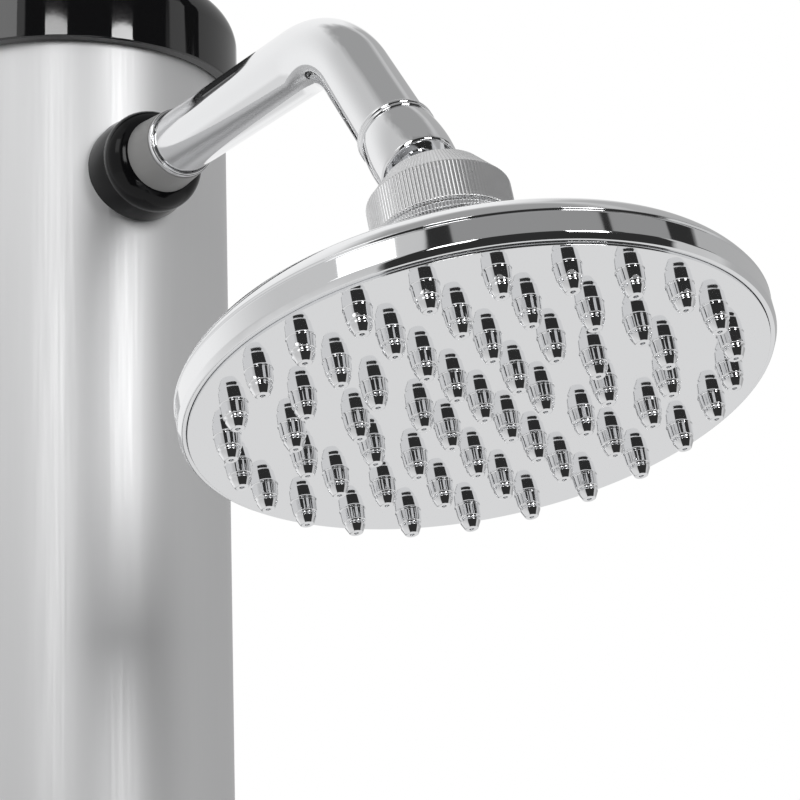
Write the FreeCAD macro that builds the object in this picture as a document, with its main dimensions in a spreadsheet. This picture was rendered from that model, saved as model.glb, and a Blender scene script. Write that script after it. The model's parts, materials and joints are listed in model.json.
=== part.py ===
import FreeCAD, Part
import Sketcher
import math
import os

# Outdoor shower post: a round tank tube on a floor flange, with a lever mixer on
# its front, an elbowed arm near its top and a round rain head on a ball joint.
# Millimetres, +Z up. The origin is the centre of the floor pad's underside, and
# the arm, the mixer and the head point towards -Y.

SIZES = {
    # post
    "tube_radius": 53.0,
    "tube_wall": 2.0,
    "cap_edge_height": 2110.0,
    "joint_height": 1090.0,
    "plug_clearance": 0.3,
    "plug_wall": 3.0,
    "plug_depth": 30.0,
    "plug_groove_share": 0.6,
    # foot
    "pad_thickness": 2.0,
    "pad_inset": 1.5,
    "pad_bore_radius": 40.0,
    "flange_radius": 100.0,
    "flange_thickness": 8.0,
    "flange_edge": 2.0,
    "bolt_circle_radius": 82.0,
    "bolt_hole_radius": 4.5,
    "bolt_count": 4,
    "socket_wall": 8.0,
    "socket_height": 44.0,
    "socket_floor": 6.0,
    "socket_clearance": 0.2,
    "socket_edge": 1.5,
    "socket_foot": 4.0,
    "set_screw_radius": 3.0,
    "set_screw_clearance": 0.05,
    "set_screw_inset": 0.5,
    "set_screw_socket_depth": 3.0,
    "set_screw_count": 3,
    # top cap and joint ring
    "cap_radius": 57.3,
    "cap_lip": 0.4,
    "cap_skirt": 17.0,
    "cap_shoulder": 14.0,
    "cap_height": 36.0,
    "cap_wall": 3.0,
    "tube_into_cap": 8.0,
    "ring_height": 24.0,
    "ring_radius": 57.0,
    "seal_width": 2.4,
    "seal_depth": 1.8,
    # arm
    "arm_drop_from_cap": 42.5,
    "arm_radius": 10.0,
    "arm_wall": 1.6,
    "arm_reach": 179.0,
    "arm_tail": 30.0,
    "arm_angle": 51.0,
    "arm_bend_radius": 38.0,
    "arm_leg": 48.0,
    "arm_fit": 0.15,
    # wall fitting of the arm
    "rosette_radius": 18.0,
    "rosette_front_radius": 16.7,
    "rosette_front": 62.3,
    "rosette_nose": 70.0,
    "rosette_bend": 6.5,
    "sleeve_radius": 12.1,
    "sleeve_front_radius": 11.2,
    "sleeve_front": 82.2,
    "ring_gap": 0.5,
    "ring_width": 1.5,
    "arm_ring_radius": 11.0,
    "locknut_radius": 15.0,
    "locknut_height": 8.0,
    "washer_thickness": 1.5,
    # swivel
    "ball_offset": 79.5,
    "ball_radius": 11.5,
    "ball_flat": 8.0,
    "ball_gap": 0.35,
    "neck_radius": 6.1,
    "waterway_radius": 4.5,
    "collar_radius": 10.6,
    "collar_end_radius": 10.9,
    "collar_waist_radius": 11.3,
    "collar_end": 12.4,
    "bead_height": 0.6,
    "bead_pitch": 1.4,
    "spigot_length": 10.0,
    "head_tilt": 15.6,
    "seat_thickness": 1.3,
    "seat_top": 3.3,
    "neck_top": 0.4,
    "neck_tail_radius": 14.0,
    "neck_nut_height": 4.5,
    "crown_wall": 5.3,
    "ball_seal_top": 2.1,
    "ball_seal_radius": 15.0,
    "ball_fit": 0.05,
    "head_waterway_radius": 5.0,
    "seat_bottom": 9.5,
    # knurled nut
    "nut_radius": 19.0,
    "nut_top": 0.4,
    "nut_bottom": 11.4,
    "nut_mouth_radius": 13.1,
    "nut_mouth_height": 6.9,
    "nut_lip_height": 5.2,
    "thread_radius": 16.1,
    "thread_clearance": 0.08,
    "knurl_count": 104,
    "knurl_depth": 0.38,
    "knurl_spread": 2.35,
    # head
    "head_radius": 75.0,
    "rim_step": 0.4,
    "rim_bottom": 58.4,
    "rim_height": 7.6,
    "shoulder_radius": 13.0,
    "dome_foot_radius": 70.0,
    "dome_foot": 45.0,
    "dome_top_radius": 29.4,
    "dome_top": 20.5,
    "flange_foot_radius": 19.4,
    "flange_foot": 12.2,
    "flare_radius": 45.0,
    "shell_wall": 2.2,
    "plate_edge_gap": 0.1,
    "plate_thickness": 2.0,
    "plate_face": 57.9,
    "tip_centre": 64.5,
    "tip_dish": 2090.0,
    # nozzles
    "nozzle_base_radius": 3.9,
    "nozzle_shoulder_radius": 3.55,
    "nozzle_tip_radius": 1.7,
    "nozzle_tip": 3.1,
    "nozzle_hole_radius": 0.6,
    "ring_first_radius": 15.0,
    "ring_pitch": 16.0,
    "ring_count": 4,
    "nozzles_per_ring_step": 6,
    # mixer
    "mixer_drop_from_joint": 130.0,
    "valve_radius": 19.0,
    "valve_back": 14.0,
    "valve_shoulder": 46.0,
    "valve_neck_radius": 18.0,
    "valve_front": 57.5,
    "cartridge_radius": 13.5,
    "cartridge_seat": 20.0,
    "cartridge_clearance": 0.05,
    "retainer_wall": 2.0,
    "retainer_height": 6.5,
    "retainer_depth": 7.0,
    "cold_port_offset": 2.0,
    "hot_port_offset": 7.0,
    "mixed_port_offset": 9.5,
    "port_bore_radius": 3.0,
    "cartridge_port_radius": 1.8,
    "body_port_radius": 2.5,
    "rotor_wall": 4.5,
    "rotor_depth": 17.0,
    "pin_radius": 2.0,
    "pin_clearance": 0.02,
    "eye_clearance": 0.03,
    "mixer_plate_radius": 34.0,
    "mixer_plate_front": 58.0,
    "pivot_offset": 66.0,
    "bonnet_radius": 20.0,
    "bonnet_mouth_radius": 12.0,
    "lever_gap": 0.6,
    "hub_radius": 25.0,
    "hub_back": 69.0,
    "hub_front": 95.0,
    "stem_radius": 4.0,
    "lever_length": 92.0,
    "lever_width": 16.0,
    "lever_thickness": 8.0,
    "lever_rise": 14.0,
    "index_radius": 5.5,
    "index_recess": 3.6,
    "index_clearance": 0.05,
    "lever_screw_radius": 2.2,
    "lever_screw_head": 4.5,
    # pipes
    "pipe_radius": 6.0,
    "pipe_wall": 1.5,
    "port_radius": 9.0,
    "port_height": 30.0,
    "port_depth": 12.0,
    "riser_offset": 18.0,
    "supply_offset": 6.0,
    "riser_bend": 14.0,
    "hot_pipe_drop_from_cap": 50.0,
    # inlet and drain
    "inlet_height": 150.0,
    "nipple_radius": 13.2,
    "nipple_bore": 7.5,
    "nipple_tail_radius": 10.0,
    "nipple_length": 24.0,
    "nipple_tail": 20.0,
    "hex_radius": 16.0,
    "hex_height": 5.0,
    "inlet_washer_thickness": 2.0,
    "inlet_nut_gap": 3.0,
    "drain_height": 88.0,
    "drain_radius": 8.0,
    "drain_fit": 0.05,
    "drain_flange_radius": 14.0,
    "drain_head_radius": 11.0,
    "drain_head_height": 6.5,
    "drain_boss_height": 5.0,
    "drain_seal_thickness": 1.5,
    "drain_tail": 4.0,
    "coin_slot_width": 2.0,
    "coin_slot_depth": 2.5,
}

doc = FreeCAD.newDocument("ShowerPost")
sheet = doc.addObject("Spreadsheet::Sheet", "Sizes")


class Size:
    """A length, angle or count with its value and the sheet expression for it."""

    def __init__(self, value, text):
        self.value = value
        self.text = text

    def __add__(self, other):
        other = as_size(other)
        return Size(self.value + other.value, "(%s + %s)" % (self.text, other.text))

    def __sub__(self, other):
        other = as_size(other)
        return Size(self.value - other.value, "(%s - %s)" % (self.text, other.text))

    def __mul__(self, other):
        other = as_size(other)
        return Size(self.value * other.value, "(%s * %s)" % (self.text, other.text))

    def __truediv__(self, other):
        other = as_size(other)
        return Size(self.value / other.value, "(%s / %s)" % (self.text, other.text))

    def __neg__(self):
        return Size(-self.value, "(0 - %s)" % self.text)

    __radd__ = __add__
    __rmul__ = __mul__

    def __rsub__(self, other):
        return as_size(other) - self


def as_size(number):
    if isinstance(number, Size):
        return number
    return Size(float(number), "%.10g" % number)


def root(size):
    return Size(math.sqrt(size.value), "sqrt(%s)" % size.text)


def leg(hypotenuse, other):
    """The second leg of a right triangle."""
    return root(hypotenuse * hypotenuse - other * other)


def sine(angle):
    return Size(math.sin(math.radians(angle.value)), "sin(%s * 1 deg)" % angle.text)


def cosine(angle):
    return Size(math.cos(math.radians(angle.value)), "cos(%s * 1 deg)" % angle.text)


def tangent(angle):
    return Size(math.tan(math.radians(angle.value)), "tan(%s * 1 deg)" % angle.text)


class Named:
    """Every driving size, by its name."""


S = Named()
for row, (alias, number) in enumerate(SIZES.items(), start=1):
    sheet.set("A%d" % row, alias)
    sheet.set("B%d" % row, str(number))
    sheet.setAlias("B%d" % row, alias)
    setattr(S, alias, Size(float(number), "Sizes." + alias))
doc.recompute()


# ---------------------------------------------------------------- sketches

def plane_of(body, role):
    for feature in body.Origin.OriginFeatures:
        if feature.Role == role:
            return feature
    raise ValueError(role)


def new_body(label):
    body = doc.addObject("PartDesign::Body", label)
    body.Label = label
    return body


def new_sketch(body, role="XZ_Plane", offset=None):
    sketch = body.newObject("Sketcher::SketchObject", "Sketch")
    sketch.AttachmentSupport = [(plane_of(body, role), "")]
    sketch.MapMode = "FlatFace"
    if offset is not None:
        sketch.AttachmentOffset = FreeCAD.Placement(
            FreeCAD.Vector(0, 0, offset.value), FreeCAD.Rotation())
        sketch.setExpression("AttachmentOffset.Base.z", offset.text)
    return sketch


def pin_point(sketch, geometry, end, x, y):
    """Fixes a point of a sketch at a place given by two sizes."""
    for kind, axis, size in (("DistanceX", -2, x), ("DistanceY", -1, y)):
        if size.value == 0.0 and size.text == "0":
            sketch.addConstraint(Sketcher.Constraint("PointOnObject", geometry, end, axis))
        else:
            index = sketch.addConstraint(
                Sketcher.Constraint(kind, -1, 1, geometry, end, size.value))
            sketch.setExpression("Constraints[%d]" % index, size.text)


def arc_through(start, end, radius, side):
    """A minor arc from start to end whose bulge lies left (+1) or right (-1)."""
    chord = end - start
    half = chord.Length / 2
    rise = math.sqrt(max(radius * radius - half * half, 0.0))
    left = FreeCAD.Vector(-chord.y, chord.x, 0).normalize()
    centre = (start + end) * 0.5 - left * (rise * side)
    middle = centre + left * (radius * side)
    return Part.Arc(start, middle, end)


def outline(sketch, steps, closed=True):
    """Draws steps, a list of (x, y) or (x, y, radius, side), end to end.

    A step with a radius is reached by an arc from the step before it.
    """
    points = [(as_size(step[0]), as_size(step[1])) for step in steps]
    vectors = [FreeCAD.Vector(x.value, y.value, 0) for x, y in points]
    count = len(steps)
    first = 0 if closed else 1
    names = []
    for index in range(first, count):
        start = vectors[index - 1]
        end = vectors[index]
        if len(steps[index]) == 4:
            radius = as_size(steps[index][2])
            arc = arc_through(start, end, radius.value, steps[index][3])
            name = sketch.addGeometry(arc, False)
            row = sketch.addConstraint(Sketcher.Constraint("Radius", name, radius.value))
            sketch.setExpression("Constraints[%d]" % row, radius.text)
            begin, finish = (1, 2)
            if (sketch.getPoint(name, 1) - start).Length > 1e-6:
                begin, finish = (2, 1)
        else:
            name = sketch.addGeometry(Part.LineSegment(start, end), False)
            begin, finish = (1, 2)
        names.append((name, begin, finish))
        pin_point(sketch, name, finish, *points[index])
    for before, after in zip(names, names[1:] + names[:1]):
        if before is names[-1] and not closed:
            pin_point(sketch, names[0][0], names[0][1], *points[0])
        else:
            sketch.addConstraint(Sketcher.Constraint(
                "Coincident", before[0], before[2], after[0], after[1]))
    return names


def circle(sketch, x, y, radius):
    x, y, radius = as_size(x), as_size(y), as_size(radius)
    name = sketch.addGeometry(
        Part.Circle(FreeCAD.Vector(x.value, y.value, 0), FreeCAD.Vector(0, 0, 1), radius.value))
    pin_point(sketch, name, 3, x, y)
    row = sketch.addConstraint(Sketcher.Constraint("Radius", name, radius.value))
    sketch.setExpression("Constraints[%d]" % row, radius.text)


def rectangle(sketch, x_low, y_low, x_high, y_high):
    outline(sketch, [(x_low, y_low), (x_high, y_low), (x_high, y_high), (x_low, y_high)])


# ---------------------------------------------------------------- features

def revolve(body, steps):
    """Turns an outline of (radius, height) steps about the body's own Z axis."""
    sketch = new_sketch(body)
    outline(sketch, steps)
    turned = body.newObject("PartDesign::Revolution", "Revolution")
    turned.Profile = sketch
    turned.ReferenceAxis = (sketch, ["V_Axis"])
    turned.Angle = 360.0
    body.Tip = turned
    return turned


def turned_body(label, steps):
    body = new_body(label)
    revolve(body, steps)
    return body


def bind(feature, name, size):
    setattr(feature, name, size.value)
    feature.setExpression(name, size.text)


def pad(body, sketch, length, reverse=False, both_ways=False):
    feature = body.newObject("PartDesign::Pad", "Pad")
    feature.Profile = sketch
    bind(feature, "Length", as_size(length))
    feature.Reversed = reverse
    feature.Midplane = both_ways
    body.Tip = feature
    return feature


def pocket(body, sketch, length, reverse=False, both_ways=False):
    """Cuts a sketch out of the body, and stops if nothing was cut."""
    doc.recompute()
    before = body.Shape.Volume
    feature = body.newObject("PartDesign::Pocket", "Pocket")
    feature.Profile = sketch
    bind(feature, "Length", as_size(length))
    feature.Reversed = reverse
    feature.Midplane = both_ways
    body.Tip = feature
    doc.recompute()
    if not body.Shape.Volume < before - 1e-3:
        raise ValueError("%s: a pocket cuts nothing" % body.Label)
    return feature


def around(body, features, count):
    """Repeats features evenly about the body's own Z axis."""
    pattern = body.newObject("PartDesign::PolarPattern", "PolarPattern")
    pattern.Originals = features
    pattern.Axis = (plane_of(body, "Z_Axis"), [""])
    pattern.Angle = 360.0
    pattern.Occurrences = int(count.value)
    pattern.setExpression("Occurrences", count.text)
    body.Tip = pattern
    return pattern


def place(body, y=0, z=0, angle=None):
    """Puts the body's origin in the plane x = 0, tipped about X."""
    y, z = as_size(y), as_size(z)
    turn = FreeCAD.Rotation(FreeCAD.Vector(1, 0, 0), angle.value if angle else 0.0)
    body.Placement = FreeCAD.Placement(FreeCAD.Vector(0, y.value, z.value), turn)
    body.setExpression("Placement.Base.y", y.text)
    body.setExpression("Placement.Base.z", z.text)
    if angle:
        body.setExpression("Placement.Rotation.Angle", "%s * 1 deg" % angle.text)


def tube_steps(outer, inner, low, high):
    return [(inner, low), (outer, low), (outer, high), (inner, high)]


def saddle(body, radius):
    """Hollows the body's back to sit on a round tube of this radius."""
    sketch = new_sketch(body)
    circle(sketch, 0, 0, radius)
    pocket(body, sketch, radius * 2, both_ways=True)


def crown(body, radius):
    """Rounds the body's front to lie inside a round tube of this radius."""
    sketch = new_sketch(body)
    circle(sketch, 0, 0, radius)
    circle(sketch, 0, 0, radius + 20)
    pocket(body, sketch, radius * 2, both_ways=True)


def drill(body, role, offset, x, y, radius, length, reverse=False):
    """Drills a round hole from a plane of the body."""
    sketch = new_sketch(body, role, as_size(offset))
    circle(sketch, x, y, radius)
    return pocket(body, sketch, length, reverse)


def boss(body, role, offset, x, y, radius, length, reverse=False):
    """Stands a round boss on a plane of the body."""
    sketch = new_sketch(body, role, as_size(offset))
    circle(sketch, x, y, radius)
    return pad(body, sketch, length, reverse)


def hexagon(sketch, radius, height=0):
    """A hexagon with two corners level with its centre, which is at this height."""
    rise = root(radius * radius - radius * radius / 4)
    corners = [(1, 0), (0.5, 1), (-0.5, 1), (-1, 0), (-0.5, -1), (0.5, -1)]
    outline(sketch, [(radius * x, rise * y + height) for x, y in corners])


def hex_nut(label, radius, bore, low, height):
    body = new_body(label)
    sketch = new_sketch(body, "XY_Plane", low)
    hexagon(sketch, radius)
    circle(sketch, 0, 0, bore)
    pad(body, sketch, height)
    return body


def pipe_ring(sketch, outer, inner):
    circle(sketch, 0, 0, outer)
    circle(sketch, 0, 0, inner)
    return sketch


def bent_pipe(label, outer, inner, role, first, bend, angle, last):
    """A round pipe that leaves a plane squarely, bends once and runs straight on."""
    body = new_body(label)
    pad(body, pipe_ring(new_sketch(body, role), outer, inner), first)
    elbow = pipe_ring(new_sketch(body, role, first), outer, inner)
    hinge = elbow.addGeometry(Part.LineSegment(
        FreeCAD.Vector(-1, -bend.value, 0), FreeCAD.Vector(1, -bend.value, 0)), True)
    pin_point(elbow, hinge, 1, as_size(-1), -bend)
    pin_point(elbow, hinge, 2, as_size(1), -bend)
    turned = body.newObject("PartDesign::Revolution", "Bend")
    turned.Profile = elbow
    turned.ReferenceAxis = (elbow, ["Axis0"])
    bind(turned, "Angle", angle)
    leg_start = new_sketch(body, role, first + bend * sine(angle))
    leg_start.AttachmentOffset = FreeCAD.Placement(
        leg_start.AttachmentOffset.Base, FreeCAD.Rotation(FreeCAD.Vector(1, 0, 0), angle.value))
    fall = bend * cosine(angle) - bend
    leg_start.setExpression("AttachmentOffset.Base.y", fall.text)
    leg_start.setExpression("AttachmentOffset.Rotation.Angle", "%s * 1 deg" % angle.text)
    pad(body, pipe_ring(leg_start, outer, inner), last)
    return body


FORWARD = as_size(90)
BACKWARD = as_size(-90)
tube_bore = S.tube_radius - S.tube_wall
plug_radius = tube_bore - S.plug_clearance
seal_root = plug_radius - S.seal_depth
plug_groove = S.plug_depth * S.plug_groove_share


def grooved(radius, middle):
    """A seal groove, drawn upwards, in a plug of this radius."""
    low = middle - S.seal_width / 2
    high = middle + S.seal_width / 2
    return [(radius, low), (seal_root, low), (seal_root, high), (radius, high)]


def seal_ring(label, middles, base=0):
    """Square rings that fill the seal grooves at these heights."""
    body = new_body(label)
    body.AllowCompound = len(middles) > 1
    for middle in middles:
        low = middle - S.seal_width / 2
        revolve(body, tube_steps(tube_bore, seal_root, low, low + S.seal_width))
    place(body, 0, base)
    return body


# ---------------------------------------------------------------- foot

flange_base = S.pad_thickness
tube_base = S.pad_thickness + S.socket_floor
socket_radius = S.tube_radius + S.socket_clearance
socket_outer = S.tube_radius + S.socket_wall

pad_body = turned_body("floor_gasket", tube_steps(
    S.flange_radius - S.pad_inset, S.pad_bore_radius, 0, S.pad_thickness))
hole = drill(pad_body, "XY_Plane", S.pad_thickness, S.bolt_circle_radius, 0,
             S.bolt_hole_radius, S.pad_thickness)
around(pad_body, [hole], S.bolt_count)

flange = turned_body("base_flange", [
    (0, 0), (S.flange_radius, 0), (S.flange_radius, S.flange_thickness - S.flange_edge),
    (S.flange_radius - S.flange_edge, S.flange_thickness),
    (socket_outer + S.socket_foot, S.flange_thickness),
    (socket_outer, S.flange_thickness + S.socket_foot),
    (socket_outer, S.socket_height - S.socket_edge),
    (socket_outer - S.socket_edge, S.socket_height), (socket_radius, S.socket_height),
    (socket_radius, S.socket_floor), (0, S.socket_floor)])
hole = drill(flange, "XY_Plane", S.flange_thickness, S.bolt_circle_radius, 0,
             S.bolt_hole_radius, S.flange_thickness)
around(flange, [hole], S.bolt_count)
screw_height = S.socket_height * 0.6
hole = drill(flange, "XZ_Plane", 0, 0, screw_height,
             S.set_screw_radius + S.set_screw_clearance, S.flange_radius)
around(flange, [hole], S.set_screw_count)
place(flange, 0, flange_base)

screws = new_body("socket_screws")
screws.AllowCompound = True
stud = boss(screws, "XZ_Plane", -S.tube_radius, 0, screw_height, S.set_screw_radius,
            S.socket_wall - S.set_screw_inset, reverse=True)
socket = new_sketch(screws, "XZ_Plane", -(socket_outer - S.set_screw_inset))
hexagon(socket, S.set_screw_radius / 2, screw_height)
key = pocket(screws, socket, S.set_screw_socket_depth, reverse=True)
around(screws, [stud, key], S.set_screw_count)
place(screws, 0, flange_base)

plug = turned_body("tank_plug", [
    (0, 0), (plug_radius, 0)] + grooved(plug_radius, plug_groove) + [
    (plug_radius, S.plug_depth), (plug_radius - S.plug_wall - 2, S.plug_depth),
    (plug_radius - S.plug_wall - 2, S.plug_wall), (0, S.plug_wall)])
place(plug, 0, tube_base)
plug_seal = seal_ring("tank_plug_seal", [plug_groove], tube_base)

# ---------------------------------------------------------------- tubes and cap

arm_height = S.cap_edge_height - S.arm_drop_from_cap
ring_top = S.joint_height + S.ring_height
tube_top = S.cap_edge_height + S.tube_into_cap
mixer_height = S.joint_height - S.mixer_drop_from_joint

lower = turned_body("lower_tube", tube_steps(
    S.tube_radius, tube_bore, 0, S.joint_height - tube_base))
drill(lower, "XZ_Plane", 0, 0, mixer_height - tube_base, S.valve_neck_radius + 0.2,
      S.tube_radius * 1.1, reverse=True)
drill(lower, "XZ_Plane", 0, 0, S.inlet_height - tube_base,
      S.nipple_tail_radius + S.arm_fit, S.tube_radius * 1.1)
drill(lower, "XZ_Plane", 0, 0, S.drain_height - tube_base, S.drain_radius + 1,
      S.tube_radius * 1.1)
place(lower, 0, tube_base)

half_ring = S.ring_height / 2
end = half_ring + S.plug_depth
groove_at = half_ring + plug_groove
ring = turned_body("joint_ring", [
    (plug_radius - S.plug_wall - 1, -end), (plug_radius, -end)] +
    grooved(plug_radius, -groove_at) + [
    (plug_radius, -half_ring), (S.ring_radius - 1, -half_ring),
    (S.ring_radius, 1 - half_ring), (S.ring_radius, half_ring - 1),
    (S.ring_radius - 1, half_ring), (plug_radius, half_ring)] +
    grooved(plug_radius, groove_at) + [
    (plug_radius, end), (plug_radius - S.plug_wall - 1, end)])
place(ring, 0, S.joint_height + half_ring)
joint_seals = seal_ring("joint_seals", [-groove_at, groove_at], S.joint_height + half_ring)

upper = turned_body("upper_tube", tube_steps(
    S.tube_radius, tube_bore, 0, tube_top - ring_top))
drill(upper, "XZ_Plane", 0, 0, arm_height - ring_top, S.arm_radius + S.arm_fit,
      S.tube_radius * 1.1, reverse=True)
place(upper, 0, ring_top)

crown_radius = S.cap_radius - S.cap_shoulder
crown_foot = S.cap_skirt + S.cap_shoulder
crown_rise = S.cap_height - crown_foot
crown_bend = (crown_radius * crown_radius + crown_rise * crown_rise) / (crown_rise * 2)
cap_groove = S.tube_into_cap - S.plug_depth * 0.5
inner_radius = plug_radius - S.plug_wall - 1
cap = turned_body("top_cap", [
    (S.tube_radius + S.socket_clearance, 0), (S.cap_radius - S.cap_lip, 0),
    (S.cap_radius, S.cap_lip), (S.cap_radius, S.cap_skirt),
    (crown_radius, crown_foot, S.cap_shoulder, -1), (0, S.cap_height, crown_bend, -1),
    (0, S.cap_height - S.cap_wall), (crown_radius - 4, crown_foot - S.cap_wall),
    (inner_radius, S.cap_skirt), (inner_radius, S.tube_into_cap - S.plug_depth),
    (plug_radius, S.tube_into_cap - S.plug_depth)] +
    grooved(plug_radius, cap_groove) + [
    (plug_radius, S.tube_into_cap),
    (S.tube_radius + S.socket_clearance, S.tube_into_cap)])
place(cap, 0, S.cap_edge_height)
cap_seal = seal_ring("cap_seal", [cap_groove], S.cap_edge_height)

# ---------------------------------------------------------------- arm and its fitting

arm_bore = S.arm_radius + S.arm_fit
rosette = turned_body("arm_rosette", [
    (arm_bore, S.tube_radius - 6), (S.rosette_radius, S.tube_radius - 6),
    (S.rosette_radius, S.tube_radius + 2.3), (S.rosette_front_radius, S.rosette_front),
    (S.sleeve_radius, S.rosette_nose, S.rosette_bend, -1),
    (arm_bore, S.rosette_nose)])
saddle(rosette, S.tube_radius)
sleeve = turned_body("arm_sleeve", [
    (arm_bore, S.rosette_nose), (S.sleeve_radius, S.rosette_nose),
    (S.sleeve_front_radius, S.sleeve_front), (arm_bore, S.sleeve_front)])
waist = S.arm_ring_radius - 0.4
ring_low = S.sleeve_front + S.ring_gap
ring_high = ring_low + S.ring_width
thin_ring = turned_body("sleeve_ring", [
    (arm_bore, S.sleeve_front), (waist, S.sleeve_front), (waist, ring_low),
    (S.arm_ring_radius, ring_low), (S.arm_ring_radius, ring_high), (waist, ring_high),
    (waist, ring_high + S.ring_gap), (arm_bore, ring_high + S.ring_gap)])
nut_seat = tube_bore - 5
locknut = hex_nut("arm_locknut", S.locknut_radius, arm_bore,
                  nut_seat - S.locknut_height, S.locknut_height)
arm_washer = turned_body("arm_washer", tube_steps(
    S.locknut_radius, arm_bore, nut_seat, S.tube_radius))
crown(arm_washer, tube_bore)
ferrule = turned_body("arm_ferrule", tube_steps(
    S.arm_radius - S.arm_wall - 0.02, S.pipe_radius + 0.02,
    S.arm_tail + 2, S.arm_tail + 12))

turn_in = S.arm_bend_radius * tangent(S.arm_angle / 2)
arm = bent_pipe("shower_arm", S.arm_radius, S.arm_radius - S.arm_wall, "XZ_Plane",
                S.arm_reach - S.arm_tail - turn_in, S.arm_bend_radius, S.arm_angle,
                S.arm_leg - turn_in)
place(arm, -S.arm_tail, arm_height)

# ---------------------------------------------------------------- swivel

ball_y = -(S.arm_reach + S.ball_offset * cosine(S.arm_angle))
ball_z = arm_height - S.ball_offset * sine(S.arm_angle)
arm_tip = S.arm_angle - 90
head_tip = -S.head_tilt
arm_end = S.ball_offset - S.arm_leg
spigot = S.arm_radius - S.arm_wall - 0.05
bead_foot = arm_end - S.bead_pitch * 2
bead_root = S.collar_radius - 0.1
bead_half = S.bead_pitch / 2
seal_low = arm_end + S.spigot_length * 0.4
spigot_root = spigot - 1.2
collar = turned_body("swivel_collar", [
    (S.waterway_radius, -S.ball_flat), (leg(S.ball_radius, S.ball_flat), -S.ball_flat),
    (S.neck_radius, leg(S.ball_radius, S.neck_radius), S.ball_radius, -1),
    (S.neck_radius, S.collar_end + 2.2), (S.collar_end_radius - 0.9, S.collar_end),
    (S.collar_end_radius - 0.4, S.collar_end), (S.collar_end_radius, S.collar_end + 0.6),
    (S.collar_waist_radius, (S.collar_end + bead_foot) / 2),
    (S.collar_radius, bead_foot - 0.4), (bead_root, bead_foot),
    (bead_root + S.bead_height, bead_foot + bead_half),
    (bead_root, bead_foot + S.bead_pitch),
    (bead_root + S.bead_height, arm_end - bead_half), (bead_root, arm_end),
    (spigot, arm_end), (spigot, seal_low), (spigot_root, seal_low),
    (spigot_root, seal_low + 2), (spigot, seal_low + 2),
    (spigot, arm_end + S.spigot_length), (S.waterway_radius, arm_end + S.spigot_length)])
collar_seal = turned_body("collar_seal", tube_steps(
    S.arm_radius - S.arm_wall, spigot_root, seal_low, seal_low + 2))

seat_inner = S.ball_radius + S.ball_fit
seat_outer = seat_inner + S.seat_thickness
cup = seat_outer + S.ball_fit
mouth = S.ball_radius + S.ball_gap
seat = turned_body("ball_seat", [
    (leg(seat_inner, S.seat_bottom), -S.seat_bottom, seat_inner, 1),
    (leg(seat_outer, S.seat_bottom), -S.seat_bottom),
    (leg(seat_outer, S.seat_top), -S.seat_top, seat_outer, -1),
    (leg(seat_inner, S.seat_top), -S.seat_top)])
ball_seal = turned_body("ball_seal", [
    (seat_inner, -S.neck_top), (S.ball_seal_radius, -S.neck_top),
    (S.ball_seal_radius, S.ball_seal_top), (leg(mouth, S.ball_seal_top), S.ball_seal_top),
    (seat_inner, S.ball_seal_top * 0.3)])
nut = turned_body("swivel_nut", [
    (leg(mouth, S.nut_lip_height), S.nut_lip_height, mouth, 1),
    (S.nut_mouth_radius, S.nut_mouth_height),
    (S.nut_radius - 0.6, S.nut_top), (S.nut_radius, S.nut_top - 0.6),
    (S.nut_radius, 0.6 - S.nut_bottom), (S.nut_radius - 0.6, -S.nut_bottom),
    (S.thread_radius, -S.nut_bottom), (S.thread_radius, -S.neck_top),
    (S.ball_seal_radius + S.ball_fit, -S.neck_top),
    (S.ball_seal_radius + S.ball_fit, S.ball_seal_top + S.ball_fit),
    (leg(mouth, S.ball_seal_top + S.ball_fit), S.ball_seal_top + S.ball_fit)])
ridge = new_sketch(nut, "XY_Plane", S.nut_top)
groove_half = S.nut_radius * S.knurl_spread / S.knurl_count
outline(ridge, [(S.nut_radius - S.knurl_depth, 0), (S.nut_radius + 0.1, -groove_half),
                (S.nut_radius + 0.1, groove_half)])
knurl = pocket(nut, ridge, S.nut_top + S.nut_bottom)
around(nut, [knurl], S.knurl_count)

# ---------------------------------------------------------------- head

rim_top = S.rim_bottom - S.rim_height
skin = S.shell_wall * 1.17
bore = S.head_radius - S.shell_wall
ledge = S.plate_face - S.plate_thickness - S.seal_depth
neck = S.thread_radius - S.thread_clearance
neck_end = S.flange_foot + S.crown_wall + S.neck_nut_height + 0.5
socket_neck = turned_body("head_neck", [
    (leg(cup, S.neck_top), -S.neck_top, cup, -1), (neck, -S.neck_top),
    (neck, -S.flange_foot), (S.neck_tail_radius, -S.flange_foot),
    (S.neck_tail_radius, -neck_end), (S.head_waterway_radius, -neck_end),
    (S.head_waterway_radius, -leg(cup, S.head_waterway_radius))])
neck_bore = S.neck_tail_radius + 0.1
ceiling = S.flange_foot + S.crown_wall
dome_slope = (S.dome_foot - S.dome_top) / (S.dome_foot_radius - S.dome_top_radius)
ceiling_radius = S.dome_top_radius - (S.dome_top + skin - ceiling) / dome_slope
neck_nut = hex_nut("neck_locknut", S.neck_tail_radius + 4.5, neck_bore,
                   -(ceiling + S.neck_nut_height), S.neck_nut_height)
shell = turned_body("head_shell", [
    (neck_bore, -S.flange_foot), (S.flange_foot_radius, -S.flange_foot),
    (S.dome_top_radius, -S.dome_top, S.flare_radius, -1),
    (S.dome_foot_radius, -S.dome_foot),
    (S.head_radius, -rim_top, S.shoulder_radius, 1),
    (S.head_radius - S.rim_step, -(rim_top + 0.4)),
    (S.head_radius - S.rim_step / 2, -(rim_top + 0.8)),
    (S.head_radius - S.rim_step / 2, -(S.rim_bottom - 1.6)),
    (S.head_radius - 1, -S.rim_bottom),
    (bore, -S.rim_bottom), (bore, -ledge), (bore - 2.3, -ledge),
    (bore - 2.3, -(S.dome_foot + skin + 0.8)),
    (ceiling_radius, -ceiling), (neck_bore, -ceiling)])

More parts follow.
